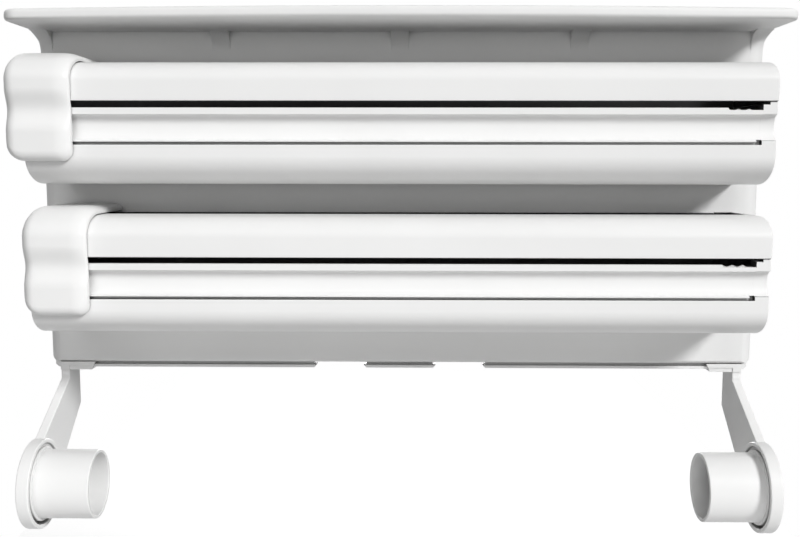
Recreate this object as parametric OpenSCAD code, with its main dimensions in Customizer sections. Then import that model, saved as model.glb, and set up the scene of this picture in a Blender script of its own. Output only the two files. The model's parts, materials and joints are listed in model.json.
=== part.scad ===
// Wall dispenser for two rolls of kitchen wrap and one roll of paper towel.
// The back of the panel lies on the wall plane y = 0, the front looks along -Y and +Z is up.
// The origin is on the wall plane, midway between the two keyholes that the panel hangs on.

/* [Wall panel] */
// Width of the panel and of its shelf
panel_w = 390; // [370:5:450]
// Height of the panel below the shelf
panel_h = 179; // [170:1:220]
// Depth of the panel, from the wall to its front face
panel_d = 20; // [18:1:28]
// Wall of the panel
panel_wall = 2.5; // [2:0.1:3.2]
// Rounding of the upright front edges of the panel
panel_edge_r = 9.5; // [5:0.5:14]
// Rounding of the lower corners of the panel
panel_corner_r = 6; // [4:0.5:10]
// Rounding of the lower front edge of the panel
panel_foot_r = 3; // [1:0.25:3.5]
// Depth of the upright ribs behind the front face
rib_depth = 9; // [6:1:12]
// Thickness of the ribs
rib_t = 1.8; // [1.4:0.1:2.4]

/* [Shelf] */
// Height of the shelf's underside above the keyholes
shelf_z = 49; // [46:1:60]
// Reach of the shelf in front of the panel, at mid width
shelf_reach = 54; // [44:1:66]
// How far the ends of the shelf's front stand back from its middle
shelf_bow = 10; // [4:1:14]
// Thickness of the shelf's floor
shelf_floor = 2.6; // [2:0.1:3.5]
// Height of the lip round the shelf, from its underside
lip_h = 5.4; // [4.6:0.1:9]
// Width of the lip
lip_w = 3; // [2:0.1:5]
// Rounding of the front corners of the shelf
shelf_corner_r = 9; // [6:0.5:14]
// Number of gussets under the shelf
gusset_count = 5; // [3:1:9]
// Width of a gusset
gusset_w = 9.5; // [6:0.5:12]
// Hollow radius of a gusset
gusset_r = 11; // [8:0.5:14]

/* [Hanging] */
// Distance between the two keyholes
key_span = 250; // [200:5:270]
// Radius of a keyhole's round entry
key_head_r = 4.5; // [4:0.1:5.5]
// Radius of a keyhole's slot
key_shank_r = 2.25; // [2:0.05:2.6]
// Rise from the entry to the end of the slot
key_rise = 9; // [8:0.5:12]
// Width of the bridge that holds a keyhole
hanger_w = 40; // [30:1:50]
// Height of that bridge
hanger_h = 46; // [36:1:54]
// Thickness of that bridge
hanger_t = 2.5; // [2:0.1:3.5]

/* [Wrap boxes] */
// Length of a wrap box
box_l = 360; // [340:1:364]
// Height from one box to the other
box_pitch = 75; // [72:1:90]
// Height of the upper cutter bar's lip above the keyholes
slot_z = 6; // [2:0.5:8]
// Height of the slot that the wrap comes out of
slot_gap = 3; // [2:0.1:4.5]
// Wall of the lid and the trough
box_wall = 2.2; // [1.8:0.1:2.8]
// Reach of the lid in front of the panel
box_reach = 58; // [54:0.5:66]
// Rise of the lid above the slot
lid_rise = 19.7; // [17:0.1:24]
// Open gap between the panel and the lid's rear edge
lid_gap = 27; // [18:0.5:30]
// Drop of the trough's back wall below the lid's top
back_drop = 0.3; // [0.2:0.1:3]
// Depth of the rounding between the lid's top and front
lid_round_d = 18; // [12:0.5:22]
// Height of that rounding
lid_round_h = 10; // [7:0.5:14]
// Depth of the trough below the cutter bar's lip
trough_drop = 36.8; // [35:0.2:44]
// How far the trough's front stands behind the lid's front
trough_set = 1.3; // [0.6:0.1:2]
// Depth of the rounding under the trough's front
trough_round_d = 21.7; // [14:0.5:26]
// Height of that rounding
trough_round_h = 13.6; // [10:0.4:15]
// Height of the sill at the trough's open end, above its underside
sill_h = 11; // [6:0.5:11.5]
// Length of the bridge that ties the lid's open end to the panel
bridge_l = 22; // [16:1:26]

/* [Cutter bars] */
// How far the cutter bar's lip stands behind the lid's front
lip_set = 0.9; // [0.4:0.1:1.8]
// Height of the lip's upright face
lip_face = 3.3; // [2.6:0.1:4]
// Depth of the hollow below the lip
waist = 4.1; // [3:0.1:4.4]
// Height of a cutter bar, from its lip to its seat on the trough
bar_h = 17.5; // [16:0.1:20]
// Depth of the bar behind its hollow
bar_t = 2.2; // [1.8:0.1:2.6]
// Height of the seam between bar and trough
seam_h = 1.2; // [0.8:0.1:1.6]
// Depth of that seam
seam_d = 1.7; // [1:0.1:2.4]
// Pitch of the teeth
tooth_pitch = 5; // [3:0.5:8]
// Height of a tooth
tooth_h = 1.1; // [0.7:0.1:1.3]
// Thickness of the toothed edge
tooth_t = 1.2; // [0.8:0.1:1.6]
// Length of the trough's closed end beyond the bar
end_block = 7; // [5:0.5:9]
// Length over which the lip is lowered to bare the teeth
relief_l = 16; // [10:1:30]

/* [End caps] */
// Length of an end cap's skirt
cap_l = 32; // [28:1:40]
// Wall of the cap's skirt
cap_wall = 3.9; // [3.2:0.1:4.6]
// Running clearance between cap and box
cap_gap = 0.5; // [0.3:0.05:0.8]
// Thickness of the cap's end
cap_end_t = 2; // [1.6:0.1:3]
// Drop of the cap's skirt below the cutter bar's lip
cap_drop = 25.6; // [23.5:0.2:26]
// Depth of the waist in the cap's front, at the height of the slot
cap_waist = 2.6; // [1.4:0.1:2.8]
// Height of that waist
cap_waist_h = 21; // [16:0.5:24]
// How far the upper cap is drawn out
cap_out = 5.5; // [1:0.5:12]
// Rounding of the closed end's front edge, seen from above
cap_end_r = 6; // [2:0.5:6.5]
// Rounding of the upper corner at the closed end
cap_top_r = 6; // [2:0.5:6.5]
// Rounding of the lower corner at the closed end
cap_low_r = 9; // [4:0.5:11]
// Rounding of the lower corner at the open end
cap_heel_r = 7; // [3:0.5:9]

/* [Towel arms] */
// Distance of an arm's outer face inside the panel's side
arm_inset = 6.3; // [5.5:0.1:12]
// Thickness of an arm
arm_t = 4.8; // [3:0.2:5]
// Reach of the hub's axis in front of the panel
hub_reach = 42; // [38:1:56]
// Drop of the hub's axis below the panel
hub_drop = 55; // [50:1:70]
// Outer radius of a hub
hub_r = 17.5; // [15:0.25:18.5]
// Length of a hub beyond its flange's rim
hub_l = 28; // [20:1:45]
// Wall of a hub
hub_wall = 1.8; // [1.5:0.1:2.5]
// Radius of the flange behind a hub
flange_r = 22.8; // [22:0.1:28]
// Thickness of the flange
flange_t = 2.2; // [1.8:0.1:3]
// Width of the rim round the flange
rim_w = 2.2; // [1.8:0.1:3]
// Height of that rim
rim_h = 4.1; // [3:0.1:6]
// How far the shoulder at a hub's root stands out
shoulder = 1.4; // [0.8:0.1:1.8]
// Half the width that an arm tends to at its hub
arm_half_w = 17; // [14:0.5:19]
// Drop of the arm's rear knee below the panel
knee_back = 27.5; // [18:0.5:30]
// Drop of the arm's front knee below the panel
knee_front = 9.6; // [8:0.2:14]
// Depth of an arm at its top, front to back
arm_top = 16; // [12:0.5:16.5]

/* [Rail] */
// Distance of the rail's middle behind the panel's front face
rail_set = 6.5; // [6.2:0.1:8]
// Thickness of the rail's neck
neck_t = 3; // [2:0.1:4]
// Height of the neck
neck_h = 1.8; // [1.6:0.1:2.4]
// Width of the rail's flange
rail_w = 7; // [6:0.1:8]
// Thickness of the rail's flange
rail_t = 1.6; // [1.2:0.1:2.2]
// Distance of the rail's ends inside the panel's sides
rail_inset = 3.2; // [2.6:0.1:3.4]
// Length of the stop at each end of the rail
stop_l = 2.8; // [2:0.1:3]
// Distance of each entry gap from the middle
entry_x = 20; // [12:1:30]
// Length of an entry gap
entry_l = 26; // [22:1:34]
// Length of an arm's shoe
shoe_l = 19.4; // [14:0.2:20]
// Wall of a shoe
shoe_wall = 1.2; // [1:0.1:1.6]
// Running clearance between shoe and rail
shoe_gap = 0.3; // [0.25:0.05:0.4]
// Set-back of the lower half of a shoe's front
shoe_step = 0.5; // [0.2:0.1:0.6]

/* [Screws] */
// Radius of a screw's shank
shank_r = 1.5; // [1.25:0.05:1.75]
// Radius of a screw's head
head_r = 2.9; // [2.5:0.1:3.4]
// Height of a screw's head
head_h = 1.8; // [1.4:0.1:2.2]
// Length of a screw under its head
screw_l = 11; // [10:0.5:12]
// Radial clearance round a shank in a wall
hole_gap = 0.2; // [0.1:0.05:0.4]
// Wall of the bosses that the screws bite in
boss_wall = 2; // [1.6:0.1:2.6]
// Distance of the outer trough screws from the middle
trough_screw_x = 140; // [110:5:150]

/* [Hidden] */
$fn = 48;
arc_steps = 12;
eps = 0.01;
past = 1;

white = [0.93, 0.93, 0.92];
steel = [0.72, 0.73, 0.75];

half_w = panel_w / 2;
panel_z = shelf_z - panel_h;
shelf_top = shelf_z + lip_h;

half_box = box_l / 2;
bar_x = half_box - end_block;
crown = slot_gap + lid_rise;
trough_reach = box_reach - trough_set;
bar_reach = box_reach - lip_set;
seat_d = bar_reach - waist - bar_t;
inner_d = seat_d - box_wall;
hook_t = 2;
tip_drop = 0.3;
tooth_root = -(tooth_h + tip_drop);
wall_top = tooth_root - hook_t;
ledge_z = -bar_h;
upper_z = slot_z;
lower_z = slot_z - box_pitch;

boss_r = shank_r + boss_wall;
boss_margin = 2;
boss_sink = 0.8;
tip_room = 0.5;
pilot_gap = 0.05;
pilot_r = shank_r + pilot_gap;
head_room = 1.6;
trough_screw_z = -trough_drop + box_wall + head_r + head_room;
trough_screw_xs = [-trough_screw_x, 0, trough_screw_x];
seat_x = half_w - panel_edge_r - head_r;
lid_boss_x = min(half_box - box_wall - boss_r + boss_sink, seat_x);
lid_bridge_x = max(-half_box + bridge_l / 2, -seat_x);
lid_root_x = lid_boss_x - boss_r - boss_margin;
lid_screw_z = crown - box_wall - boss_r - boss_margin;
lid_flange_z = lid_screw_z - boss_r - boss_margin;
lid_screw_xs = [lid_bridge_x, lid_boss_x];

arm_x = half_w - arm_inset;
hub_z = panel_z - hub_drop;
shoe_half = rail_w / 2 + shoe_gap + shoe_wall;
cavity_half = rail_w / 2 + shoe_gap;
cavity_top = panel_z - neck_h + shoe_gap;
cavity_floor = panel_z - neck_h - rail_t - shoe_gap;
shoe_top = panel_z - shoe_gap;
shoe_floor = cavity_floor - shoe_wall;
shoe_slant = 2.2;
rail_slant = rail_t;

// Points of an elliptic arc about a centre
function arc(centre, rx, ry, from, to) =
    [for (i = [0 : arc_steps])
        let (a = from + (to - from) * i / arc_steps)
        [centre[0] + rx * cos(a), centre[1] + ry * sin(a)]];

// Point where a line from p touches a circle of radius r about c
function touch(p, c, r, side) =
    let (v = p - c)
    let (a = atan2(v[1], v[0]) + side * acos(r / norm(v)))
    c + r * [cos(a), sin(a)];

// Front edge of the shelf, as distance before the panel's front face
function shelf_front(x) = shelf_reach - shelf_bow * pow(x / half_w, 2);

// Outline of the shelf in plan, drawn in by t
function shelf_outline(t) =
    let (w = half_w - t)
    let (r = shelf_corner_r - t)
    let (turn = w - r)
    let (steps = 24)
    concat([[w, -panel_d + t]],
           arc([turn, shelf_front(turn) - t - r], r, r, 0, 90),
           [for (i = [1 : steps - 1])
               let (x = turn * (1 - 2 * i / steps))
               [x, shelf_front(x) - t]],
           arc([-turn, shelf_front(turn) - t - r], r, r, 90, 180),
           [[-w, -panel_d + t]]);

// Front of a cutter bar, from its lip down to its seam
function bar_front() =
    let (lip_r = 0.9)
    let (hollow_drop = 5.2)
    let (foot_h = 0.8)
    let (hollow_z = -lip_face - hollow_drop)
    let (foot_z = ledge_z + seam_h + foot_h)
    concat(arc([bar_reach - lip_r, -lip_r], lip_r, lip_r, 90, 0),
           arc([bar_reach, hollow_z], waist, -lip_face - hollow_z, 90, 180),
           arc([trough_reach, hollow_z], trough_reach - bar_reach + waist, hollow_z - foot_z, 180, 270),
           [[trough_reach, ledge_z + seam_h]]);

// Extrudes an outline drawn in distance before the panel and height along X
module along_x(from, to) {
    translate([from, -panel_d, 0])
        mirror([0, 1, 0])
            rotate([90, 0, 90])
                linear_extrude(to - from)
                    children();
}

// Extrudes an outline drawn in X and distance before the panel along Z
module along_z(from, to) {
    translate([0, -panel_d, from])
        mirror([0, 1, 0])
            linear_extrude(to - from)
                children();
}

// Extrudes an outline drawn in X and Z along Y
module along_y(from, to) {
    translate([0, to, 0])
        rotate([90, 0, 0])
            linear_extrude(to - from)
                children();
}

// Round bar along Y from one distance before the panel to another
module peg(x, z, r, from, to) {
    translate([x, -panel_d - to, z])
        rotate([-90, 0, 0])
            cylinder(r = r, h = to - from);
}

// Plan of the panel, drawn in by t
module panel_plan(t, back) {
    w = half_w - t;
    r = panel_edge_r - t;
    polygon(concat([[w, -panel_d - back]],
                   arc([w - r, -t - r], r, r, 0, 90),
                   arc([-w + r, -t - r], r, r, 90, 180),
                   [[-w, -panel_d - back]]));
}

// Front outline of the panel, drawn in by t
module panel_face(t) {
    w = half_w - t;
    r = panel_corner_r - t;
    z = panel_z + t;
    polygon(concat([[w, shelf_z + eps], [-w, shelf_z + eps]],
                   arc([-w + r, z + r], r, r, 180, 270),
                   arc([w - r, z + r], r, r, 270, 360)));
}

module panel_shell() {
    difference() {
        intersection() {
            along_z(panel_z, shelf_z + eps)
                panel_plan(0, 0);
            along_y(-panel_d - past, past)
                panel_face(0);
        }
        intersection() {
            along_z(panel_z, shelf_z + past)
                panel_plan(panel_wall, past);
            along_y(-panel_d - past, past + past)
                panel_face(panel_wall);
        }
        along_x(-half_w - past, half_w + past)
            translate([-panel_foot_r, panel_z + panel_foot_r])
                difference() {
                    translate([0, -panel_foot_r - past])
                        square([panel_foot_r + past, panel_foot_r + past]);
                    circle(panel_foot_r);
                }
    }
}

module shelf() {
    difference() {
        along_z(shelf_z, shelf_top)
            polygon(shelf_outline(0));
        along_z(shelf_z + shelf_floor, shelf_top + past)
            polygon(shelf_outline(lip_w));
    }
}

module gussets() {
    first = -half_w + gusset_w / 2;
    step = (panel_w - gusset_w) / (gusset_count - 1);
    last = gusset_count - 1;
    for (i = [0 : last]) {
        root = i == 0 || i == last ? panel_edge_r : panel_wall / 2;
        along_x(first + i * step - gusset_w / 2, first + i * step + gusset_w / 2)
            difference() {
                translate([-root, shelf_z - gusset_r])
                    square([root + gusset_r, gusset_r + eps]);
                translate([gusset_r, shelf_z - gusset_r])
                    circle(gusset_r);
            }
    }
}

module keyhole() {
    circle(key_head_r);
    translate([0, key_rise])
        circle(key_shank_r);
    translate([-key_shank_r, 0])
        square([2 * key_shank_r, key_rise]);
}

module hanger(x) {
    low = -hanger_h / 2;
    translate([x, 0, 0]) {
        along_y(-hanger_t, 0)
            difference() {
                translate([-hanger_w / 2, low])
                    square([hanger_w, hanger_h]);
                keyhole();
            }
        for (side = [-1, 1])
            translate([side * (hanger_w - rib_t) / 2 - rib_t / 2, -panel_d + panel_wall - eps, low])
                cube([rib_t, panel_d - panel_wall + eps, hanger_h]);
    }
}

// Upright ribs behind the front face, in line with the inner gussets
module ribs() {
    step = (panel_w - gusset_w) / (gusset_count - 1);
    for (i = [1 : gusset_count - 2])
        translate([-half_w + gusset_w / 2 + i * step - rib_t / 2, -panel_d + panel_wall - eps, panel_z + eps])
            cube([rib_t, rib_depth, panel_h]);
}

// Stretch of the rail under the panel
module rail(from, to) {
    neck_top = panel_z + eps;
    flange_top = panel_z - neck_h;
    y = -panel_d + rail_set;
    translate([from + rail_slant, y - neck_t / 2, flange_top - eps])
        cube([to - from - 2 * rail_slant, neck_t, neck_top - flange_top + eps]);
    along_y(y - rail_w / 2, y + rail_w / 2)
        polygon([[from, flange_top], [to, flange_top],
                 [to - rail_slant, flange_top - rail_t], [from + rail_slant, flange_top - rail_t]]);
}

// Rail with its two entry gaps and its end stops
module rails() {
    outer = half_w - rail_inset;
    rail(-entry_x, entry_x);
    for (side = [0, 1])
        mirror([side, 0, 0]) {
            rail(entry_x + entry_l, outer);
            translate([outer - stop_l, -panel_d + rail_set - rail_w / 2, panel_z - neck_h - eps])
                cube([stop_l, rail_w, neck_h + panel_wall / 2]);
        }
}

module back_panel() {
    color(white)
        difference() {
            union() {
                panel_shell();
                shelf();
                gussets();
                ribs();
                rails();
                for (side = [-1, 1])
                    hanger(side * key_span / 2);
                for (z = [upper_z, lower_z])
                    for (x = trough_screw_xs)
                        peg(x, z + trough_screw_z, boss_r, -screw_l - past, -panel_wall + eps);
            }
            for (z = [upper_z, lower_z]) {
                for (x = trough_screw_xs)
                    peg(x, z + trough_screw_z, pilot_r, -screw_l - past - eps, eps);
                for (x = lid_screw_xs)
                    peg(x, z + lid_screw_z, shank_r + hole_gap, -panel_wall - eps, eps);
            }
        }
}

// Outer section of the trough up to the seat of its cutter bar
function trough_outside() =
    concat([[0, -trough_drop]],
           arc([trough_reach - trough_round_d, -trough_drop + trough_round_h],
               trough_round_d, trough_round_h, 270, 360),
           [[trough_reach, ledge_z]]);

// Hollow section of the trough, open at the top
module trough_inside(top) {
    r_d = trough_round_d - box_wall;
    r_h = trough_round_h - box_wall;
    polygon(concat([[box_wall, top], [box_wall, -trough_drop + box_wall]],
                   arc([trough_reach - trough_round_d, -trough_drop + trough_round_h], r_d, r_h, 270, 360),
                   [[trough_reach - box_wall, ledge_z - box_wall], [inner_d, ledge_z - box_wall],
                    [inner_d, top]]));
}

// Section of the trough's closed end, with the same front as the cutter bar
module trough_end() {
    front = bar_front();
    polygon(concat(trough_outside(),
                   [for (i = [len(front) - 1 : -1 : arc_steps + 1]) front[i]],
                   [[bar_reach, slot_gap], [0, slot_gap]]));
}

module trough(z) {
    step = slot_gap / 2;
    step_l = 3;
    wall_gap = 0.5;
    color(white)
        translate([0, 0, z])
            difference() {
                union() {
                    along_x(-half_box, bar_x)
                        polygon(concat(trough_outside(),
                                       [[seat_d, ledge_z], [seat_d, wall_top], [0, wall_top]]));
                    along_x(bar_x, half_box)
                        trough_end();
                    for (wall = [[-half_box, half_box - box_wall - wall_gap, lid_flange_z - wall_gap],
                                 [-half_box + bridge_l + wall_gap, lid_root_x - wall_gap, crown - back_drop]])
                        along_x(wall[0], wall[1])
                            translate([0, wall_top - eps])
                                square([box_wall, wall[2] - wall_top + eps]);
                }
                difference() {
                    along_x(-half_box - past, half_box - box_wall)
                        trough_inside(slot_gap + past);
                    along_x(-half_box - past, -half_box + box_wall)
                        translate([0, -trough_drop])
                            square([trough_reach, sill_h]);
                }
                along_x(bar_x - past, bar_x + step_l)
                    translate([inner_d - past, step])
                        square([waist + bar_t + box_wall + 2 * past, slot_gap]);
                for (x = trough_screw_xs)
                    peg(x, trough_screw_z, shank_r + hole_gap, -eps, box_wall + eps);
            }
}

// Section of the lid's outer face, drawn in by t, from its lower front edge to its rear edge
function lid_edge(t, rear) =
    concat([[box_reach - t, slot_gap]],
           arc([box_reach - lid_round_d, crown - lid_round_h], lid_round_d - t, lid_round_h - t, 0, 90),
           [[rear, crown - t]]);

module lid(z) {
    sheet_back = lid_edge(box_wall, lid_gap);
    color(white)
        translate([0, 0, z])
            difference() {
                union() {
                    along_x(-half_box, half_box)
                        polygon(concat(lid_edge(0, lid_gap),
                                       [for (i = [len(sheet_back) - 1 : -1 : 0]) sheet_back[i]]));
                    along_x(half_box - box_wall, half_box)
                        polygon(concat(lid_edge(0, 0), [[0, slot_gap]]));
                    along_x(-half_box, -half_box + bridge_l)
                        translate([0, crown - box_wall])
                            square([lid_gap + eps, box_wall]);
                    for (span = [[-half_box, -half_box + bridge_l], [lid_root_x, half_box]])
                        along_x(span[0], span[1])
                            translate([0, lid_flange_z])
                                square([box_wall, crown - lid_flange_z]);
                    for (x = lid_screw_xs)
                        peg(x, lid_screw_z, boss_r, 0, screw_l);
                }
                for (x = lid_screw_xs)
                    peg(x, lid_screw_z, pilot_r, -eps, screw_l - panel_wall + tip_room);
            }
}

// Row of pointed teeth along X
module teeth(from, to) {
    count = floor((to - from) / tooth_pitch);
    y = -panel_d - seat_d - bar_t - tooth_t / 2;
    along_y(y, y + tooth_t)
        polygon(concat([[from, tooth_root - eps]],
                       [for (i = [0 : count - 1], k = [0, 1])
                           [from + (i + 0.5 * k) * tooth_pitch, tooth_root + k * tooth_h]],
                       [[from + count * tooth_pitch, tooth_root],
                        [from + count * tooth_pitch, tooth_root - eps]]));
}

module cutter_bar(z) {
    front = bar_front();
    lip_t = 2;
    end_gap = 0.2;
    notch_l = 2.4;
    notch_h = 2.4;
    right = bar_x - end_gap;
    color(white)
        translate([0, 0, z]) {
            difference() {
                along_x(-half_box, right)
                    polygon(concat([[bar_reach - lip_t, 0]], front,
                                   [[trough_reach - seam_d, ledge_z + seam_h], [trough_reach - seam_d, ledge_z],
                                    [seat_d, ledge_z], [seat_d, wall_top], [inner_d, wall_top],
                                    [inner_d, tooth_root], [bar_reach - lip_t, tooth_root]]));
                along_x(right - relief_l, right + past)
                    translate([bar_reach - lip_t - eps, -tooth_h])
                        square([lip_t + past, tooth_h + past]);
                along_x(right - notch_l, right + past)
                    translate([trough_reach - 2 * seam_d, ledge_z - past])
                        square([2 * seam_d + past, notch_h + past]);
            }
            teeth(-half_box, right);
        }
}

// Outer section of an end cap, from the panel over the top and down past its waist
function cap_outside(rear) =
    let (proud = cap_gap + cap_wall)
    let (front = box_reach + proud)
    let (waist_top = (slot_gap + cap_waist_h) / 2 - slot_gap)
    concat([[rear, crown + proud]],
           arc([box_reach - lid_round_d, crown - lid_round_h], lid_round_d + proud, lid_round_h + proud, 90, 0),
           [for (i = [0 : arc_steps])
               let (s = i / arc_steps)
               [front - cap_waist * pow(sin(180 * s), 2), waist_top - cap_waist_h * s]]);

// Hollow of an end cap, which clears the lid, the cutter bar and the trough
module cap_inside(rear, low) {
    polygon(concat([[rear, low], [rear, crown + cap_gap]],
                   arc([box_reach - lid_round_d, crown - lid_round_h],
                       lid_round_d + cap_gap, lid_round_h + cap_gap, 90, 0),
                   [[box_reach + cap_gap, slot_gap], [bar_reach + cap_gap, 0], [bar_reach + cap_gap, low]]));
}

// Front outline of an end cap, with its rounded corners
module cap_face(left, right) {
    top = crown + cap_gap + cap_wall;
    polygon(concat([[right, top]],
                   arc([left + cap_top_r, top - cap_top_r], cap_top_r, cap_top_r, 90, 180),
                   arc([left + cap_low_r, cap_low_r - cap_drop], cap_low_r, cap_low_r, 180, 270),
                   arc([right - cap_heel_r, cap_heel_r - cap_drop], cap_heel_r, cap_heel_r, 270, 360)));
}

// Plan of an end cap, with the rounded front edge of its closed end
module cap_plan(left, right, front) {
    polygon(concat([[left, 0], [right, 0], [right, front]],
                   arc([left + cap_end_r, front - cap_end_r], cap_end_r, cap_end_r, 90, 180)));
}

module end_cap(z, out) {
    back_gap = 1.5;
    skirt_r = 5;
    front = box_reach + cap_gap + cap_wall;
    closed = -half_box - cap_gap - out;
    left = closed - cap_end_t;
    right = left + cap_l;
    skirt = arc([front - skirt_r, -cap_drop + skirt_r], skirt_r, skirt_r, 0, -90);
    color(white)
        translate([0, 0, z])
            intersection() {
                difference() {
                    along_x(left, right)
                        polygon(concat(cap_outside(back_gap), skirt, [[back_gap, -cap_drop]]));
                    along_x(closed, right + past)
                        cap_inside(back_gap - past, -cap_drop - past);
                }
                along_y(-panel_d - front - past, 0)
                    cap_face(left, right);
                along_z(-cap_drop - past, crown + cap_gap + cap_wall + past)
                    cap_plan(left, right, front);
            }
}

// Shoe of the right arm, hooked round the rail
module shoe() {
    inner = arm_x - shoe_l;
    y = -panel_d + rail_set;
    step_h = (shoe_top - shoe_floor) / 2;
    difference() {
        along_y(y - shoe_half, y + shoe_half)
            polygon([[inner, shoe_top], [arm_x, shoe_top], [arm_x, shoe_floor], [inner + shoe_slant, shoe_floor]]);
        translate([inner - past, y - shoe_half - past, shoe_floor - past])
            cube([shoe_l - arm_t + past, shoe_step + past, step_h + past]);
        translate([inner - past, y - cavity_half, cavity_floor])
            cube([shoe_l + 2 * past, 2 * cavity_half, cavity_top - cavity_floor]);
        translate([inner - past, y - neck_t / 2 - shoe_gap, cavity_floor])
            cube([shoe_l + 2 * past, neck_t + 2 * shoe_gap, shoe_top - cavity_floor + past]);
    }
}

// Places what is drawn along Z on the axis of the right hub, starting at the arm's outer face
module on_hub_axis() {
    translate([arm_x, -panel_d - hub_reach, hub_z])
        rotate([0, -90, 0])
            children();
}

// Shoe, slanting plate and rimmed flange of the right arm
module arm() {
    hub = [hub_reach, hub_z];
    plate_set = 0.5;
    front_d = -rail_set + shoe_half - plate_set;
    back_d = front_d - arm_top;
    rear_knee = [back_d, panel_z - knee_back];
    front_knee = [front_d, panel_z - knee_front];
    plate_top = cavity_floor - shoe_wall / 4;
    shoe();
    along_x(arm_x - arm_t, arm_x)
        polygon([[back_d, plate_top], rear_knee, touch(rear_knee, hub, arm_half_w, 1), hub,
                 touch(front_knee, hub, arm_half_w, -1), front_knee, [front_d, plate_top]]);
    on_hub_axis()
        difference() {
            cylinder(r = flange_r, h = flange_t + rim_h);
            translate([0, 0, flange_t])
                cylinder(r = flange_r - rim_w, h = rim_h + past);
        }
}

module right_arm() {
    difference() {
        union() {
            arm();
            on_hub_axis() {
                cylinder(r = hub_r, h = flange_t + rim_h + hub_l);
                cylinder(r = hub_r + shoulder, h = flange_t + rim_h);
            }
        }
        on_hub_axis()
            translate([0, 0, flange_t])
                cylinder(r = hub_r - hub_wall, h = rim_h + hub_l + past);
    }
}

// Pan-head screw along Y with its head's seat at a distance before the panel
module screw(x, z, seat, way) {
    peg(x, z, shank_r, min(seat - way * screw_l, seat), max(seat - way * screw_l, seat));
    peg(x, z, head_r, min(seat, seat + way * head_h), max(seat, seat + way * head_h));
}

module trough_screws(z) {
    color(steel)
        for (x = trough_screw_xs)
            screw(x, z + trough_screw_z, box_wall, 1);
}

module lid_screws(z) {
    color(steel)
        for (x = lid_screw_xs)
            screw(x, z + lid_screw_z, -panel_wall, -1);
}

module upper_trough() {
    trough(upper_z);
}

module lower_trough() {
    trough(lower_z);
}

module upper_lid() {
    lid(upper_z);
}

module lower_lid() {
    lid(lower_z);
}

module upper_cutter_bar() {
    cutter_bar(upper_z);
}

module lower_cutter_bar() {
    cutter_bar(lower_z);
}

module upper_end_cap() {
    end_cap(upper_z, cap_out);
}

module lower_end_cap() {
    end_cap(lower_z, 0);
}

module right_towel_arm() {
    color(white)
        right_arm();
}

module left_towel_arm() {
    color(white)
        mirror([1, 0, 0])
            right_arm();
}

module upper_trough_screws() {
    trough_screws(upper_z);
}

module lower_trough_screws() {
    trough_screws(lower_z);
}

module upper_lid_screws() {
    lid_screws(upper_z);
}

module lower_lid_screws() {
    lid_screws(lower_z);
}

back_panel();
upper_trough();
lower_trough();
upper_lid();
lower_lid();
upper_cutter_bar();
lower_cutter_bar();
upper_end_cap();
lower_end_cap();
left_towel_arm();
right_towel_arm();
upper_trough_screws();
lower_trough_screws();
upper_lid_screws();
lower_lid_screws();
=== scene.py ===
"""Dresses the kitchen wrap dispenser in moulded white plastic and lights it as in a studio."""
import json
import math

import bmesh
import bpy
from mathutils import Matrix, Vector


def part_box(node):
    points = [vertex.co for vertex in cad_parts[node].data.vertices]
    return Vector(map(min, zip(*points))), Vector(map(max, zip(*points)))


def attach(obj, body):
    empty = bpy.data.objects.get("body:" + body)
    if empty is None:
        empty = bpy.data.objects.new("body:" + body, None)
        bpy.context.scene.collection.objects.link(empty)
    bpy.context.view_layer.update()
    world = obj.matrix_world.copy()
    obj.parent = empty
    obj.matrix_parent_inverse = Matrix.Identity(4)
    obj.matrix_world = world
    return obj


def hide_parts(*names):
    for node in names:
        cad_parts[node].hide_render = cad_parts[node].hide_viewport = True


# Lengths are in metres unless a name ends in _MM, and angles are in degrees
MM = 0.001
TINY = 0.05 * MM

# Camera, as solved from the photograph's perspective
IMAGE_W = 800
FOCAL_PX = 938
SENSOR_W = 36
CAMERA_AT = (6.6 * MM, -529 * MM, -20 * MM)
CAMERA_PITCH = 83.55
CAMERA_YAW = 0.72
CAMERA_ROLL = 0.07
CLIP_START = 0.01

# Lights as (degrees to the right of the front, degrees up, strength, degrees across)
KEY = (42, 31, 2.62, 15)
FILL = (-20, 40, 0.55, 40)
FRONT = (-5, 1, 0.48, 30)
BACK = (180, 6, 1.5, 6)
AMBIENT = 0.01
CARD_SIZE = 0.6
CARD_AT = (0, -0.4, -0.49)
CARD_POWER = 0.85

# Floor, well below the object
FLOOR_Z = -0.5
FLOOR_X = (-0.5, 0.5)
FLOOR_Y = (-0.9, 1.6)
FLOOR_TONE = 0.42
FLOOR_VARIATION = 1.02
FLOOR_CELLS = 3
FLOOR_ROUGHNESS = 0.9
FLOOR_GLOW = 0.8

# Rounded edges of the mouldings
SHARP_ANGLE = 32
FLAT_ANGLE = 0.8
WELD = 0.002 * MM
BEVEL_SEGMENTS = 4
BOX_EDGE = 0.6 * MM
BAR_EDGE = 0.25 * MM
ARM_EDGE = 0.6 * MM
SHOE_EDGE = 0.15 * MM
CAP_EDGE = 0.2 * MM
LIP_TOP_EDGE = 2.2 * MM
LIP_INNER_EDGE = 0.6 * MM
LIP_UNDER_EDGE = 1.6 * MM
GUSSET_EDGE = 0.4 * MM
RIM_EDGE = 0.3 * MM
RAIL_EDGE = 0.2 * MM

# Sizes that the frame's boxes don't give
LIP_H = 5.4 * MM
GUSSET_R = 11 * MM
PANEL_EDGE_R = 9.5 * MM
SHOE_H = 4.9 * MM
ROLL_AXIS_D = 26 * MM
ROLL_AXIS_DROP = 5 * MM
SLOT_RISE = 3 * MM
BAR_END_GAP = 0.2 * MM
BAR_NOTCH_L = 2.6 * MM
BAR_END_EDGE_L = 10.4 * MM
BAR_DRAW_OUT = 0.19 * MM

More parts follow.
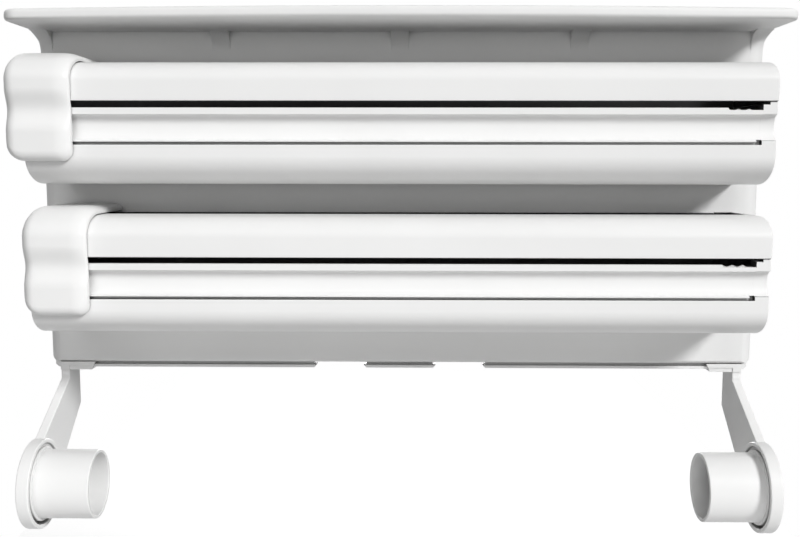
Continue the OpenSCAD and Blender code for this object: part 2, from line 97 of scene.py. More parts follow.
# Rounded end gussets of the shelf
GUSSET_STEPS = 10
GUSSET_LEVELS = 22
GUSSET_STRIP = 0.5 * MM
GUSSET_OVERLAP = 0.1 * MM
GUSSET_TUCK = 0.25 * MM
GUSSET_ROUND_H = 5.5 * MM
GUSSET_TOP_R = 4 * MM
GUSSET_INNER_R = 8.55 * MM

# Share of a face's normal along X from which it counts as an end wall
END_WALL = 0.5

# End cap section, measured from the panel's front face and the cutter bar's lip
CAP_DROP_MM = 25.6
CAP_WALL_MM = 3.9
CAP_GAP_MM = 0.5
CAP_END_MM = 2
CAP_END_R_MM = 6
CAP_END_ANGLES = (0, 12, 24, 36)
CAP_SIDE_ANGLES = (60, 70, 80, 90)
CAP_REAR_MM = 1.5
CAP_LOW_MID_MM = 7.5
CAP_LOW_R_MM = 9
CAP_HEEL_R_MM = 5
CAP_RIM_RUN_MM = 8
CAP_RIM_SHARE = 0.75
CAP_RIM_STEP = 9
CAP_ROUND_STEPS = 16
CAP_WAIST_MM = 2.6
CAP_WAIST_H_MM = 21
CAP_WAIST_TOP_MM = 9
CAP_WAIST_STEPS = 24
CAP_SKIRT_R_MM = 5
CAP_SKIRT_LEAST_MM = 1
CAP_SKIRT_SHARE = 0.9
CAP_SKIRT_STEPS = 8
LID_ROUND_D_MM = 18
LID_ROUND_H_MM = 10
BAR_SET_MM = 0.9
NEAR_MM = 0.001

# Screws
TROUGH_SCREWS = 3
LID_SCREWS = 2
FORWARDS = -1
BACKWARDS = 1
SCREW_SEGMENTS = 32
SCREW_HEAD_R = 2.9 * MM
SCREW_HEAD_H = 1.8 * MM
SCREW_FLAT_R = 1.6 * MM
SCREW_DOME_H = 1.62 * MM
SCREW_DOME_STEPS = 8
SCREW_HEAD_SEAT_R = 2.8 * MM
SCREW_SHANK_R = 1.5 * MM
SCREW_CORE_R = 1.1 * MM
SCREW_PITCH = 1.1 * MM
THREAD_STEPS = 6
THREAD_SLOPE = 3
RECESS_HALF_W = 0.32 * MM
RECESS_HALF_L = 1.25 * MM
RECESS_DEPTH = 0.9 * MM
RECESS_TAPER = 0.6

# Textures, in cells per metre, with the part of a noise's range that is used
NOISE_RANGE = (0.3, 0.7)
CLOUD_CELLS = 14
STREAK_CELLS = 90
STREAK_STRETCH = (0.12, 1, 1)
WAVE_CELLS = 55
WAVE_STRENGTH = 0.08
WAVE_DEPTH = 0.1 * MM
GRAIN_CELLS = 2600
GRAIN_DEPTH = 0.02 * MM

# Plastics as (pale colour, deep colour, least roughness, greatest roughness, strength of the grain)
GLOSSY_WHITE = ((0.88, 0.88, 0.875), (0.855, 0.855, 0.85), 0.3, 0.42, 0.05)
SATIN_WHITE = ((0.87, 0.87, 0.865), (0.845, 0.845, 0.84), 0.4, 0.52, 0.12)
# Painted shade: a near-black plastic on the faces inside the boxes stands in for the shadow there
PAINTED_SHADE_INSIDE = ((0.05, 0.05, 0.05), (0.035, 0.035, 0.035), 0.5, 0.65, 0.3)
PLASTIC_IOR = 1.49

# Share of the plastic's gloss, where 0.5 is that of a polished surface
SHEEN = 0.22

# Painted shade in crevices: its reach, its samples, the openness it spans and the tone in the tightest ones
CREVICE_REACH = 7 * MM
CREVICE_SAMPLES = 6
CREVICE_RANGE = (0.02, 0.55)
CREVICE_TONE = 0.3

# Zinc plating of the screws
ZINC_DEEP = (0.5, 0.51, 0.53)
ZINC_PALE = (0.68, 0.69, 0.71)
ZINC_SPOT_CELLS = 900
ZINC_TURNED_CELLS = 1500
ZINC_TURNED_STRETCH = (1, 0.1, 1)
ZINC_ROUGHNESS = (0.22, 0.42)
ZINC_RELIEF = 0.3
ZINC_DEPTH = 0.02 * MM

# The frame, with each node's box and the body that it belongs to
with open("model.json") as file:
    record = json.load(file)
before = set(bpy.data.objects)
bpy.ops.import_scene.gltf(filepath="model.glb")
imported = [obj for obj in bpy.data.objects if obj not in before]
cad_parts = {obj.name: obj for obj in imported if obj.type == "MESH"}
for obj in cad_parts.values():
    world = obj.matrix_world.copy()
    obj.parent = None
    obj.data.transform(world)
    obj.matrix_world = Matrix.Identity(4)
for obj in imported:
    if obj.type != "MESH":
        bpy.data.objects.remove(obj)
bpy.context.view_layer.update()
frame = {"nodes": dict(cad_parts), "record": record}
BOXES = {node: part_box(node) for node in frame["nodes"]}
BODIES = {node: body for body, nodes in frame["record"]["behaviour"]["bodies"].items() for node in nodes}


def link(name, mesh, material):
    """A new object in the scene with one material."""
    piece = bpy.data.objects.new(name, mesh)
    bpy.context.scene.collection.objects.link(piece)
    mesh.materials.clear()
    mesh.materials.append(material)
    return piece


def stand_for(piece, node):
    """Lets a piece take the place of a CAD node on the node's own body."""
    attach(piece, BODIES[node])
    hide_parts(node)
    return piece


def copied_mesh(node):
    """A copy of a node's mesh with its seams welded and its flat faces merged."""
    mesh = frame["nodes"][node].data.copy()
    mesh.name = node + "_mesh"
    bm = bmesh.new()
    bm.from_mesh(mesh)
    bmesh.ops.remove_doubles(bm, verts=bm.verts, dist=WELD)
    flat = math.radians(FLAT_ANGLE)
    bmesh.ops.dissolve_limit(bm, angle_limit=flat, verts=bm.verts, edges=bm.edges)
    bm.to_mesh(mesh)
    bm.free()
    return mesh


def mark_edges(mesh, radius_of, largest):
    """Gives each sharp outer edge its rounding, as a share of the largest, and keeps the others crisp."""
    bm = bmesh.new()
    bm.from_mesh(mesh)
    weight = bm.edges.layers.float.new("bevel_weight_edge")
    for face in bm.faces:
        face.smooth = True
    for edge in bm.edges:
        if len(edge.link_faces) != 2 or edge.calc_face_angle(0) < math.radians(SHARP_ANGLE):
            continue
        radius = radius_of(edge) if edge.is_convex else 0
        edge[weight] = radius / largest
        edge.smooth = radius > 0
    bm.to_mesh(mesh)
    bm.free()


def round_edges(piece, radius_of, largest):
    """Rounds a piece's sharp edges as real geometry and evens out its shading."""
    mark_edges(piece.data, radius_of, largest)
    bevel = piece.modifiers.new("rounded_edges", "BEVEL")
    bevel.limit_method = "WEIGHT"
    bevel.width = largest
    bevel.segments = BEVEL_SEGMENTS
    bevel.use_clamp_overlap = False
    bevel.miter_outer = "MITER_ARC"
    normals = piece.modifiers.new("even_shading", "WEIGHTED_NORMAL")
    normals.keep_sharp = True


def moulded(node, material, radius_of, largest, extra=None):
    """Shows a node as a moulding with rounded edges and, where it has any, extra forms."""
    mesh = copied_mesh(node)
    if extra:
        extra(mesh)
    piece = link(node + "_moulding", mesh, material)
    round_edges(piece, radius_of, largest)
    return stand_for(piece, node)


def middle_of(edge):
    return (edge.verts[0].co + edge.verts[1].co) / 2


def split_sides(bm, at, along):
    """Cuts the panel's flat side faces along a plane."""
    right = BOXES["back_panel"][1].x
    sides = [face for face in bm.faces if all(abs(abs(v.co.x) - right) < TINY for v in face.verts)]
    edges = {edge for face in sides for edge in face.edges}
    verts = {vert for face in sides for vert in face.verts}
    bmesh.ops.bisect_plane(bm, geom=[*sides, *edges, *verts], dist=WELD, plane_co=at, plane_no=along)


def gusset_section(right, front, y, radius):
    """Outline of an end gusset at one level, with a rounded outer corner and its inner side in the panel."""
    edge_x = right - PANEL_EDGE_R
    edge_y = front + PANEL_EDGE_R
    outer = arc((right - radius, y + radius), radius, radius, -90, 0, GUSSET_STEPS)
    inner = arc((edge_x, edge_y), GUSSET_INNER_R, GUSSET_INNER_R, 0, -90, GUSSET_STEPS)
    return [(edge_x + GUSSET_OVERLAP, y + TINY), *outer, (right, edge_y), *inner]


def smooth_step(share):
    """Eases a share from 0 to 1 in and out."""
    share = min(1, max(0, share))
    return (3 - 2 * share) * share ** 2


def gusset_rings(bm, side, levels, shelf_z):
    """Rings of an end gusset from the shelf down, whose outer corner grows rounder on the way."""
    right = BOXES["back_panel"][1].x
    front = BOXES["upper_trough"][1].y
    rings = []
    for y, z in levels:
        rounder = smooth_step((shelf_z - z) / GUSSET_ROUND_H)
        radius = GUSSET_TOP_R + (PANEL_EDGE_R - GUSSET_TOP_R) * rounder
        outer_x = right - GUSSET_TUCK if z > shelf_z else right
        section = gusset_section(outer_x, front, y, radius)
        rings.append([bm.verts.new((side * x, y, z - WELD)) for x, y in section])
    return rings


def join_rings(bm, first, second):
    """Joins two closed rings of equal counts by faces."""
    faces = []
    for i in range(len(first)):
        j = (i + 1) % len(first)
        faces.append(bm.faces.new((first[i], first[j], second[j], second[i])))
    return faces


def loft(bm, rings):
    """Joins rings of equal counts into a closed body."""
    faces = [bm.faces.new(rings[0]), bm.faces.new(list(reversed(rings[-1])))]
    for upper, lower in zip(rings, rings[1:]):
        faces += join_rings(bm, upper, lower)
    bmesh.ops.recalc_face_normals(bm, faces=faces)


def round_end_gussets(mesh):
    """Rounds the outer corners of the end gussets downwards, into the panel's rounded edges."""
    right = BOXES["back_panel"][1].x
    front = BOXES["upper_trough"][1].y
    shelf_z = BOXES["back_panel"][1].z - LIP_H
    foot_z = shelf_z - GUSSET_R
    bm = bmesh.new()
    bm.from_mesh(mesh)
    split_sides(bm, (0, front + PANEL_EDGE_R, 0), (0, 1, 0))
    split_sides(bm, (0, 0, shelf_z), (0, 0, 1))
    corners = [v for v in bm.verts if abs(v.co.x) > right - TINY and v.co.y < front + TINY
               and foot_z - TINY < v.co.z < shelf_z - TINY]
    for vert in corners:
        if vert.co.x > 0:
            split_sides(bm, vert.co, (0, 0, 1))
    for vert in corners:
        vert.co.x = math.copysign(right - PANEL_EDGE_R + GUSSET_STRIP, vert.co.x)
    cover_r = GUSSET_R - TINY
    curve = arc((front - GUSSET_R, foot_z), cover_r, cover_r, 90, 0, GUSSET_LEVELS)
    levels = [(curve[0][0], shelf_z + GUSSET_STRIP), *curve, (front + TINY, foot_z - GUSSET_ROUND_H)]
    for side in (-1, 1):
        loft(bm, gusset_rings(bm, side, levels, shelf_z))
    bm.to_mesh(mesh)
    bm.free()


def panel_radius(edge):
    """Rounding of the panel's edges: full on the shelf's lip, fine on gussets, rear rim and rail."""
    low, high = BOXES["back_panel"]
    front = BOXES["upper_trough"][1].y
    foot = BOXES["left_towel_arm"][1].z
    shelf_z = high.z - LIP_H
    middle = middle_of(edge)
    if min(v.co.z for v in edge.verts) > high.z - TINY:
        side = min(edge.link_faces, key=lambda face: abs(face.normal.z))
        outward = side.normal.dot(middle - Vector((0, low.y / 2, middle.z))) > 0
        return LIP_TOP_EDGE if outward and middle.y < -TINY else LIP_INNER_EDGE
    if min(v.co.y for v in edge.verts) > -TINY:
        return RIM_EDGE
    if middle.z < foot - TINY:
        return RAIL_EDGE
    if middle.y > front + TINY:
        return 0
    if abs(middle.z - shelf_z) < TINY:
        return LIP_UNDER_EDGE if middle.y < front - GUSSET_R - TINY else 0
    drop = shelf_z - middle.z
    if 0 < drop < GUSSET_R:
        at_end = abs(middle.x) > high.x - PANEL_EDGE_R + TINY
        return 0 if at_end or drop < 2 * GUSSET_EDGE else GUSSET_EDGE
    return 0


def arm_radius(edge):
    """Rounding of an arm's edges, finer on the shoe that hooks round the rail."""
    shoe_floor = BOXES["left_towel_arm"][1].z - SHOE_H
    return SHOE_EDGE if middle_of(edge).z > shoe_floor - TINY else ARM_EDGE


def bar_radius(edge):
    """Rounding of a cutter bar's edges, left out on its right end, which butts against the trough."""
    right = BOXES["upper_cutter_bar"][1].x
    at_end = middle_of(edge).x > right - BAR_NOTCH_L and edge.calc_length() < BAR_END_EDGE_L
    return 0 if at_end else BAR_EDGE


def trough_radius(edge):
    """Rounding of a trough's edges, left out where the cutter bar butts against its end block."""
    seam_x = BOXES["upper_cutter_bar"][1].x + BAR_END_GAP
    return 0 if all(abs(v.co.x - seam_x) < TINY for v in edge.verts) else BOX_EDGE


def seat_bar(piece):
    """Draws a cutter bar's right end out to the trough's end block."""
    right = BOXES["upper_cutter_bar"][1].x
    for vertex in piece.data.vertices:
        if vertex.co.x > right - TINY:
            vertex.co.x += BAR_DRAW_OUT


def paint_shade_inside(piece, node, material):
    """Gives the faces that look at the roll inside a box a near-black material, painted shade that stands in
    for the dark inside of the box.
    """
    high = BOXES[node][1]
    lip_z = BOXES[node.replace("trough", "cutter_bar").replace("lid", "cutter_bar")][1].z
    axis = Vector((0, high.y - ROLL_AXIS_D, lip_z - ROLL_AXIS_DROP))
    mesh = piece.data
    mesh.materials.append(material)
    for face in mesh.polygons:
        inward = Vector((-face.center.x, axis.y - face.center.y, axis.z - face.center.z))
        if abs(face.normal.x) < END_WALL:
            inward.x = 0
        elif abs(face.center.x) > high.x - TINY:
            continue
        if face.normal.dot(inward) > 0:
            face.material_index = 1


def arc(centre, rx, ry, start, stop, steps):
    """Points of an elliptic arc about a centre, with angles in degrees."""
    angles = [math.radians(start + (stop - start) * i / steps) for i in range(steps + 1)]
    return [(centre[0] + rx * math.cos(a), centre[1] + ry * math.sin(a)) for a in angles]


def corner_lift(run, radius):
    """How far a rounded corner rises at a distance from the end it rounds."""
    if run >= radius:
        return 0
    return radius - math.sqrt(radius ** 2 - (radius - run) ** 2)


def cap_stations():
    """Length of an end cap, and places along it as (run from the closed end, inset, share of the rim)."""
    low, high = BOXES["upper_end_cap"]
    length = (high.x - low.x) / MM
    at_plate = math.degrees(math.acos(1 - CAP_END_MM / CAP_END_R_MM))
    stations = []
    for angle in (*CAP_END_ANGLES, at_plate, *CAP_SIDE_ANGLES):
        a = math.radians(angle)
        stations.append((CAP_END_R_MM * (1 - math.cos(a)), CAP_END_R_MM * (1 - math.sin(a)), 0))
    for run in (CAP_LOW_MID_MM, CAP_LOW_R_MM, length / 2):
        stations.append((run, 0, 0))
    for angle in range(0, 90 + CAP_RIM_STEP, CAP_RIM_STEP):
        a = math.radians(angle)
        stations.append((length - CAP_RIM_RUN_MM * (1 - math.sin(a)), 0, 1 - math.cos(a)))
    return length, stations


def cap_outer(reach, crown, bottom, inset, rim):
    """Outer section of an end cap, drawn in by a rounding at its closed end or at its rim."""
    proud = CAP_GAP_MM + CAP_WALL_MM
    front = reach + proud
    inner_front = reach - BAR_SET_MM + CAP_GAP_MM
    draw_top = inset + rim * CAP_RIM_SHARE * CAP_WALL_MM
    centre = (reach - LID_ROUND_D_MM, crown - LID_ROUND_H_MM)
    lift = proud - draw_top
    points = [(CAP_REAR_MM, crown + lift), (centre[0] / 2, crown + lift)]
    points += arc(centre, LID_ROUND_D_MM + lift, LID_ROUND_H_MM + lift, 90, 0, CAP_ROUND_STEPS)
    for i in range(CAP_WAIST_STEPS + 1):
        share = i / CAP_WAIST_STEPS
        hollow = CAP_WAIST_MM * math.sin(math.pi * share) ** 2
        wall = front - hollow - reach
        points.append((front - hollow - inset - rim * CAP_RIM_SHARE * wall,
                       CAP_WAIST_TOP_MM - CAP_WAIST_H_MM * share))
    face = front - inset - rim * CAP_RIM_SHARE * (front - inner_front)
    waist_end = CAP_WAIST_TOP_MM - CAP_WAIST_H_MM
    skirt_h = min(CAP_SKIRT_R_MM, CAP_SKIRT_SHARE * (waist_end - bottom))
    heel = min(inner_front, face - CAP_SKIRT_LEAST_MM)
    points += arc((heel, bottom + skirt_h), face - heel, skirt_h, 0, -90, CAP_SKIRT_STEPS)
    return points


def cap_inner(reach, crown, bottom):
    """Hollow section of an end cap."""
    inner_front = reach - BAR_SET_MM + CAP_GAP_MM
    centre = (reach - LID_ROUND_D_MM, crown - LID_ROUND_H_MM)
    points = [(CAP_REAR_MM, crown + CAP_GAP_MM)]
    points += arc(centre, LID_ROUND_D_MM + CAP_GAP_MM, LID_ROUND_H_MM + CAP_GAP_MM, 90, 0, CAP_ROUND_STEPS)
    return points + [(reach + CAP_GAP_MM, SLOT_RISE / MM), (inner_front, 0), (inner_front, bottom)]


def cap_mesh(node):
    """An end cap lofted along X with a pillowed closed end, a rounded rim and rounded lower corners."""
    low = BOXES[node][0]
    lid_low, lid_high = BOXES[node.replace("end_cap", "lid")]
    panel_y = lid_high.y
    lip_z = low.z + CAP_DROP_MM * MM
    reach = (panel_y - lid_low.y) / MM
    crown = (lid_high.z - lip_z) / MM
    length, stations = cap_stations()
    bm = bmesh.new()

    def vert(run, d, z):
        return bm.verts.new((low.x + run * MM, panel_y - d * MM, lip_z + z * MM))

    outer, inner, corners, plate = [], [], [], 0
    for index, (run, inset, rim) in enumerate(stations):
        bottom = -CAP_DROP_MM + corner_lift(run, CAP_LOW_R_MM) + corner_lift(length - run, CAP_HEEL_R_MM)
        section = [vert(run, d, z) for d, z in cap_outer(reach, crown, bottom, inset, rim)]
        outer.append(section)
        if run < CAP_END_MM + NEAR_MM:
            plate = index
            corners.append(vert(run, CAP_REAR_MM, bottom))
        if run > CAP_END_MM - NEAR_MM:
            hollow = [vert(run, d, z) for d, z in cap_inner(reach, crown, bottom)[:-1]]
            inner.append(hollow + [section[-1]])

    def strip(first, second):
        for i in range(len(first) - 1):
            bm.faces.new((first[i], second[i], second[i + 1], first[i + 1]))

    for k in range(len(outer) - 1):
        strip(outer[k], outer[k + 1])
    for k in range(len(inner) - 1):
        strip(inner[k + 1], inner[k])
        bm.faces.new((outer[plate + k][0], inner[k][0], inner[k + 1][0], outer[plate + k + 1][0]))
    for k in range(plate):
        bm.faces.new((outer[k][-1], outer[k + 1][-1], corners[k + 1], corners[k]))
        rear = [corners[k], corners[k + 1]]
        if k + 1 == plate:
            rear.append(inner[0][0])
        bm.faces.new(rear + [outer[k + 1][0], outer[k][0]])
    bm.faces.new(outer[0] + [corners[0]])
    bm.faces.new(list(reversed(inner[0])) + [corners[plate]])
    bm.faces.new(list(reversed(outer[-1])) + inner[-1][:-1])
    bmesh.ops.recalc_face_normals(bm, faces=bm.faces)
    mesh = bpy.data.meshes.new(node + "_mesh")
    bm.to_mesh(mesh)
    bm.free()
    return mesh


def screw_profile(way):
    """A screw from its head's top down, as (depth, function that gives the radius at an angle)."""
    dome_w = SCREW_HEAD_R - SCREW_FLAT_R
    dome = arc((SCREW_FLAT_R, -SCREW_DOME_H), dome_w, SCREW_DOME_H, 90, 0, SCREW_DOME_STEPS)
    profile = [(-z, lambda a, r=r: r) for r, z in dome]
    profile.append((SCREW_HEAD_H, lambda a: SCREW_HEAD_SEAT_R))
    low, high = BOXES["upper_trough_screws"]
    length = high.y - low.y - SCREW_HEAD_H
    step = SCREW_PITCH / THREAD_STEPS
    for i in range(int(length / step) + 1):
        depth = i * step
        fade = min(1, (length - depth) / SCREW_PITCH, depth / SCREW_PITCH)

        def thread(a, depth=depth, fade=fade):
            phase = (depth / SCREW_PITCH + way * a / (2 * math.pi)) % 1
            crest = max(0, 1 - THREAD_SLOPE * abs(phase - 0.5))
            return SCREW_CORE_R + (SCREW_SHANK_R - SCREW_CORE_R) * crest * max(0, fade)
        profile.append((SCREW_HEAD_H + depth, thread))
    return profile


def cross_outline():
    """Outline of a cross recess about its middle, as four turned arms."""
    half_w, half_l = RECESS_HALF_W, RECESS_HALF_L
    arm = [(half_l, -half_w), (half_l, half_w), (half_w, half_w)]
    outline = []
    for c, s in ((1, 0), (0, 1), (-1, 0), (0, -1)):
        outline += [(c * x - s * z, s * x + c * z) for x, z in arm]
    return outline


def add_screw(bm, at, way):
    """Adds a pan-head screw with a cross recess and a thread, whose head's top looks along way * Y."""
    def vert(x, depth, z):
        return bm.verts.new((at[0] + x, at[1] - way * depth, at[2] + z))

    angles = [2 * math.pi * i / SCREW_SEGMENTS for i in range(SCREW_SEGMENTS)]
    rings = []
    for depth, radius_at in screw_profile(way):
        rings.append([vert(radius_at(a) * math.cos(a), depth, radius_at(a) * math.sin(a)) for a in angles])
    for first, second in zip(rings, rings[1:]):
        join_rings(bm, first, second)
    bm.faces.new(rings[-1])
    mouth = [vert(x, 0, z) for x, z in cross_outline()]
    floor = [vert(x * RECESS_TAPER, RECESS_DEPTH, z * RECESS_TAPER) for x, z in cross_outline()]
    edges = []
    for loop in (rings[0], mouth):
        for i, v in enumerate(loop):
            other = loop[(i + 1) % len(loop)]
            edges.append(bm.edges.get((v, other)) or bm.edges.new((v, other)))
    bmesh.ops.bridge_loops(bm, edges=edges)
    join_rings(bm, mouth, floor)
    bm.faces.new(floor)


def screw_set(node, count, way, material):
    """Shows a node's screws with heads, recesses and threads."""
    low, high = BOXES[node]
    first, last = low.x + SCREW_HEAD_R, high.x - SCREW_HEAD_R
    top = low.y if way == FORWARDS else high.y
    bm = bmesh.new()
    for i in range(count):
        add_screw(bm, (first + (last - first) * i / (count - 1), top, (low.z + high.z) / 2), way)
    bmesh.ops.recalc_face_normals(bm, faces=bm.faces)
    for face in bm.faces:
        face.smooth = True
    for edge in bm.edges:
        edge.smooth = edge.calc_face_angle(0) < math.radians(SHARP_ANGLE)
    mesh = bpy.data.meshes.new(node + "_mesh")
    bm.to_mesh(mesh)
    bm.free()
    return stand_for(link(node + "_turned", mesh, material), node)


def noise(tree, coordinates, scale, detail, stretch=(1, 1, 1)):
    """A noise texture over the object's own coordinates; scale is in cells per metre."""
    mapping = tree.nodes.new("ShaderNodeMapping")
    mapping.inputs["Scale"].default_value = stretch
    tree.links.new(coordinates, mapping.inputs["Vector"])
    texture = tree.nodes.new("ShaderNodeTexNoise")
    texture.inputs["Scale"].default_value = scale
    texture.inputs["Detail"].default_value = detail
    tree.links.new(mapping.outputs["Vector"], texture.inputs["Vector"])
    return texture.outputs[0]


def spread(tree, value, low, high, source=NOISE_RANGE):
    """Maps a value from its source range onto another one."""
    ranged = tree.nodes.new("ShaderNodeMapRange")
    ranged.inputs["From Min"].default_value = source[0]
    ranged.inputs["From Max"].default_value = source[1]
    ranged.inputs["To Min"].default_value = low
    ranged.inputs["To Max"].default_value = high
    tree.links.new(value, ranged.inputs["Value"])
    return ranged.outputs["Result"]


def blend_colours(tree, factor, first, second):
    """Mixes two colours by a value."""
    mix = tree.nodes.new("ShaderNodeMix")
    mix.data_type = "RGBA"
    mix.inputs["A"].default_value = (*first, 1)
    mix.inputs["B"].default_value = (*second, 1)
    tree.links.new(factor, mix.inputs["Factor"])
    return mix.outputs["Result"]


def painted_crevice_shade(tree, colour):
    """Paints shade into a colour in narrow gaps and sharp inner corners, from ambient occlusion."""
    crevice = tree.nodes.new("ShaderNodeAmbientOcclusion")
    crevice.samples = CREVICE_SAMPLES
    crevice.inputs["Distance"].default_value = CREVICE_REACH
    share = spread(tree, crevice.outputs["AO"], CREVICE_TONE, 1, CREVICE_RANGE)
    mix = tree.nodes.new("ShaderNodeMix")
    mix.data_type = "RGBA"
    mix.blend_type = "MULTIPLY"
    mix.inputs["Factor"].default_value = 1
    tree.links.new(colour, mix.inputs["A"])
    tree.links.new(share, mix.inputs["B"])
    return mix.outputs["Result"]


def relief(tree, height, strength, depth, below=None):
    """Fine relief from a height value, laid over another one."""
    bump = tree.nodes.new("ShaderNodeBump")
    bump.inputs["Strength"].default_value = strength
    bump.inputs["Distance"].default_value = depth
    tree.links.new(height, bump.inputs["Height"])
    if below is not None:
        tree.links.new(below, bump.inputs["Normal"])
    return bump.outputs["Normal"]


def new_material(name):
    """A new material with its node tree, its shader and the object's coordinates."""
    material = bpy.data.materials.new(name)
    material.use_nodes = True
    tree = material.node_tree
    coordinates = tree.nodes.new("ShaderNodeTexCoord").outputs["Object"]
    return material, tree, tree.nodes["Principled BSDF"], coordinates


def moulded_plastic(name, pale, deep, smoothest, dullest, grain):
    """Injection-moulded plastic with flow streaks, a fine grain and a slight waviness."""
    material, tree, shader, coordinates = new_material(name)
    clouds = noise(tree, coordinates, CLOUD_CELLS, 3)
    colour = blend_colours(tree, spread(tree, clouds, 0, 1), deep, pale)
    # The base colour carries painted shade in crevices and gaps
    tree.links.new(painted_crevice_shade(tree, colour), shader.inputs["Base Color"])
    streaks = noise(tree, coordinates, STREAK_CELLS, 4, STREAK_STRETCH)
    tree.links.new(spread(tree, streaks, smoothest, dullest), shader.inputs["Roughness"])
    shader.inputs["IOR"].default_value = PLASTIC_IOR
    shader.inputs["Specular IOR Level"].default_value = SHEEN
    waves = relief(tree, noise(tree, coordinates, WAVE_CELLS, 1), WAVE_STRENGTH, WAVE_DEPTH)
    fine = relief(tree, noise(tree, coordinates, GRAIN_CELLS, 2), grain, GRAIN_DEPTH, waves)
    tree.links.new(fine, shader.inputs["Normal"])
    return material


def zinc_steel():
    """Zinc-plated steel with a spotty sheen."""
    material, tree, shader, coordinates = new_material("screw_steel")
    spots = noise(tree, coordinates, ZINC_SPOT_CELLS, 4)
    colour = blend_colours(tree, spread(tree, spots, 0, 1), ZINC_DEEP, ZINC_PALE)
    tree.links.new(colour, shader.inputs["Base Color"])
    shader.inputs["Metallic"].default_value = 1
    turned = noise(tree, coordinates, ZINC_TURNED_CELLS, 2, ZINC_TURNED_STRETCH)
    tree.links.new(spread(tree, turned, *ZINC_ROUGHNESS), shader.inputs["Roughness"])
    tree.links.new(relief(tree, turned, ZINC_RELIEF, ZINC_DEPTH), shader.inputs["Normal"])
    return material


def add_camera():
    """The camera at the photograph's angle."""
    data = bpy.data.cameras.new("camera")
    data.sensor_width = SENSOR_W
    data.lens = FOCAL_PX / IMAGE_W * SENSOR_W
    data.clip_start = CLIP_START
    camera = bpy.data.objects.new("camera", data)
    camera.location = CAMERA_AT
    yaw = Matrix.Rotation(math.radians(CAMERA_YAW), 3, "Z")
    pitch = Matrix.Rotation(math.radians(CAMERA_PITCH), 3, "X")
    roll = Matrix.Rotation(math.radians(CAMERA_ROLL), 3, "Z")
    camera.rotation_euler = (yaw @ pitch @ roll).to_euler()
    bpy.context.scene.collection.objects.link(camera)
    bpy.context.scene.camera = camera


def add_sun(name, light):
    """A soft light that is far enough away to be parallel."""
    azimuth, elevation, strength, across = light
    az = math.radians(azimuth)
    el = math.radians(elevation)
    towards = Vector((math.sin(az) * math.cos(el), -math.cos(az) * math.cos(el), math.sin(el)))
    data = bpy.data.lights.new(name, "SUN")
    data.energy = strength
    data.angle = math.radians(across)
    lamp = bpy.data.objects.new(name, data)
    lamp.rotation_euler = (-towards).to_track_quat("-Z", "Y").to_euler()
    bpy.context.scene.collection.objects.link(lamp)


def add_card():
    """A bright card on the floor in front of the object, which lights it from below."""
    data = bpy.data.lights.new("bounce_card", "AREA")
    data.energy = CARD_POWER
    data.size = CARD_SIZE
    lamp = bpy.data.objects.new("bounce_card", data)
    lamp.location = CARD_AT
    lamp.rotation_euler = (math.pi, 0, 0)
    bpy.context.scene.collection.objects.link(lamp)


def shown_background(tree):
    """A value that is 1 for rays which show the background: to the camera, in gloss or through glass."""
    path = tree.nodes.new("ShaderNodeLightPath")
    value = path.outputs["Is Camera Ray"]
    for name in ("Is Glossy Ray", "Is Transmission Ray"):
        either = tree.nodes.new("ShaderNodeMath")
        either.operation = "MAXIMUM"
        tree.links.new(value, either.inputs[0])
        tree.links.new(path.outputs[name], either.inputs[1])
        value = either.outputs[0]
    return value


def add_world():
    """A white background that hardly lights the object."""
    world = bpy.data.worlds.new("studio")
    bpy.context.scene.world = world
    world.use_nodes = True
    tree = world.node_tree
    dim = tree.nodes["Background"]
    dim.inputs["Color"].default_value = (1, 1, 1, 1)
    dim.inputs["Strength"].default_value = AMBIENT
    white = tree.nodes.new("ShaderNodeBackground")
    white.inputs["Color"].default_value = (1, 1, 1, 1)
    mix = tree.nodes.new("ShaderNodeMixShader")
    tree.links.new(shown_background(tree), mix.inputs["Fac"])
    tree.links.new(dim.outputs[0], mix.inputs[1])
    tree.links.new(white.outputs[0], mix.inputs[2])
    tree.links.new(mix.outputs[0], tree.nodes["World Output"].inputs["Surface"])


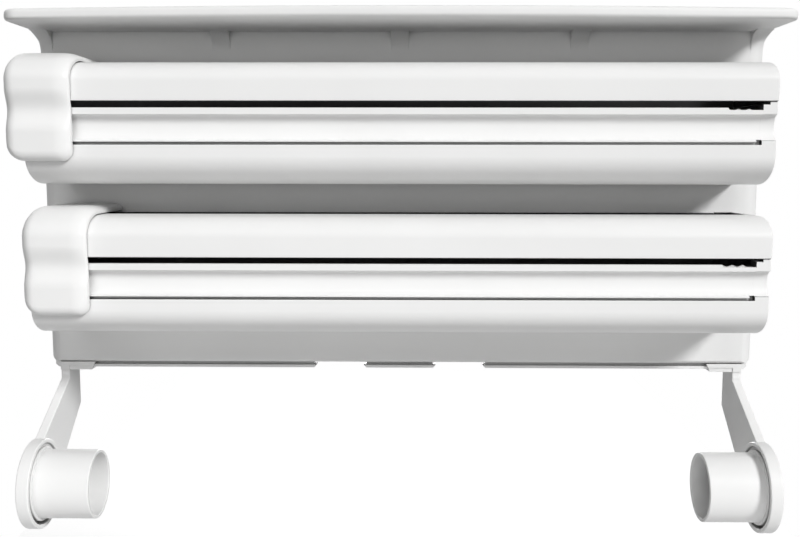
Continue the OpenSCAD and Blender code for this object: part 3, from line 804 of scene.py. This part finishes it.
def add_floor():
    """A pale floor well below the object that keeps its shadow and turns white towards the camera."""
    mesh = bpy.data.meshes.new("floor")
    left, right = FLOOR_X
    front, back = FLOOR_Y
    outline = [(left, front), (right, front), (right, back), (left, back)]
    mesh.from_pydata([(x, y, FLOOR_Z) for x, y in outline], [], [(0, 1, 2, 3)])
    material, tree, shader, coordinates = new_material("floor")
    clouds = noise(tree, coordinates, FLOOR_CELLS, 2)
    colour = blend_colours(tree, clouds, (FLOOR_TONE,) * 3, (FLOOR_TONE * FLOOR_VARIATION,) * 3)
    tree.links.new(colour, shader.inputs["Base Color"])
    shader.inputs["Roughness"].default_value = FLOOR_ROUGHNESS
    shader.inputs["Specular IOR Level"].default_value = 0
    shader.inputs["Emission Color"].default_value = (1, 1, 1, 1)
    glow = tree.nodes.new("ShaderNodeMath")
    glow.operation = "MULTIPLY"
    glow.inputs[1].default_value = FLOOR_GLOW
    tree.links.new(shown_background(tree), glow.inputs[0])
    tree.links.new(glow.outputs[0], shader.inputs["Emission Strength"])
    link("floor", mesh, material)


gloss = moulded_plastic("white_plastic", *GLOSSY_WHITE)
satin = moulded_plastic("panel_plastic", *SATIN_WHITE)
# Painted shade for the insides of the boxes
shade = moulded_plastic("box_inside_painted_shade", *PAINTED_SHADE_INSIDE)
steel = zinc_steel()

moulded("back_panel", satin, panel_radius, LIP_TOP_EDGE, round_end_gussets)
for level in ("upper", "lower"):
    for name, radius_of in (("trough", trough_radius), ("lid", lambda edge: BOX_EDGE)):
        box_piece = moulded(f"{level}_{name}", gloss, radius_of, BOX_EDGE)
        paint_shade_inside(box_piece, f"{level}_{name}", shade)
    seat_bar(moulded(f"{level}_cutter_bar", gloss, bar_radius, BAR_EDGE))
    cap = link(f"{level}_end_cap_moulding", cap_mesh(f"{level}_end_cap"), gloss)
    round_edges(cap, lambda edge: CAP_EDGE, CAP_EDGE)
    stand_for(cap, f"{level}_end_cap")
    screw_set(f"{level}_trough_screws", TROUGH_SCREWS, FORWARDS, steel)
    screw_set(f"{level}_lid_screws", LID_SCREWS, BACKWARDS, steel)
for side in ("left", "right"):
    moulded(f"{side}_towel_arm", gloss, arm_radius, ARM_EDGE)

bpy.context.scene.view_settings.view_transform = "Standard"
add_camera()
add_world()
add_sun("key_light", KEY)
add_sun("fill_light", FILL)
add_sun("front_light", FRONT)
add_sun("back_light", BACK)
add_card()
add_floor()
